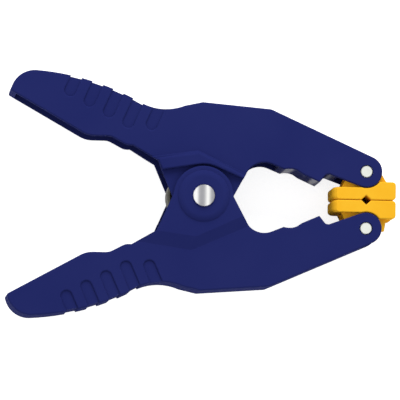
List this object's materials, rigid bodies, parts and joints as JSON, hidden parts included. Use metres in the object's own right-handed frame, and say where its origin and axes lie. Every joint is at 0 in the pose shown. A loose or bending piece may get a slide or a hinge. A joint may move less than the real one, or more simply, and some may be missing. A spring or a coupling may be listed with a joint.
{
  "type": "spring clamp",
  "caption": "Hand spring clamp: crossed moulded arms on a steel pivot pin, a torsion spring in the handles and swivelling jaw pads.",
  "frame": {"origin": "on the pivot axis, on the plane that the clamp rests on when it lies on its side", "axes": "+X from the handles to the jaws, +Y towards the upper arm, +Z along the pivot pin towards its head"},
  "size_m": [0.1928, 0.122, 0.0354],
  "materials": {
    "arm_plastic": "fine satin moulding",
    "pad_plastic": "smooth, slightly soft",
    "pin_steel": "plated, smooth",
    "rivet_aluminium": "bright, smooth",
    "spring_steel": "oiled wire"
  },
  "bodies": {
    "lower_side": {"lower_arm": "arm_plastic", "pivot_pin": "pin_steel", "pin_washer": "spring_steel", "torsion_spring": "spring_steel", "lower_pad_pin": "rivet_aluminium"},
    "upper_side": {"upper_arm": "arm_plastic", "upper_pad_pin": "rivet_aluminium"},
    "lower_jaw_pad": {"lower_pad": "pad_plastic"},
    "upper_jaw_pad": {"upper_pad": "pad_plastic"}
  },
  "joints": [
    {"name": "jaw_opening", "type": "hinge", "parent": "lower_side", "child": "upper_side", "pos_m": [0, 0, 0.0165], "axis": [0, 0, 1], "range_deg": [0, 38], "stiffness_Nm_per_rad": 4, "springref_deg": -34.38, "deforming": ["torsion_spring"]},
    {"name": "upper_pad_swivel", "type": "hinge", "parent": "upper_side", "child": "upper_jaw_pad", "pos_m": [0.0815, 0.0142, 0.0165], "axis": [0, 0, 1], "range_deg": [-19, 0]},
    {"name": "lower_pad_swivel", "type": "hinge", "parent": "lower_side", "child": "lower_jaw_pad", "pos_m": [0.0815, -0.0142, 0.0165], "axis": [0, 0, 1], "range_deg": [0, 19]}
  ],
  "couplings": [
    {"joint": "upper_pad_swivel", "follows": "jaw_opening", "ratio": -0.5},
    {"joint": "lower_pad_swivel", "follows": "jaw_opening", "ratio": 0.5}
  ]
}
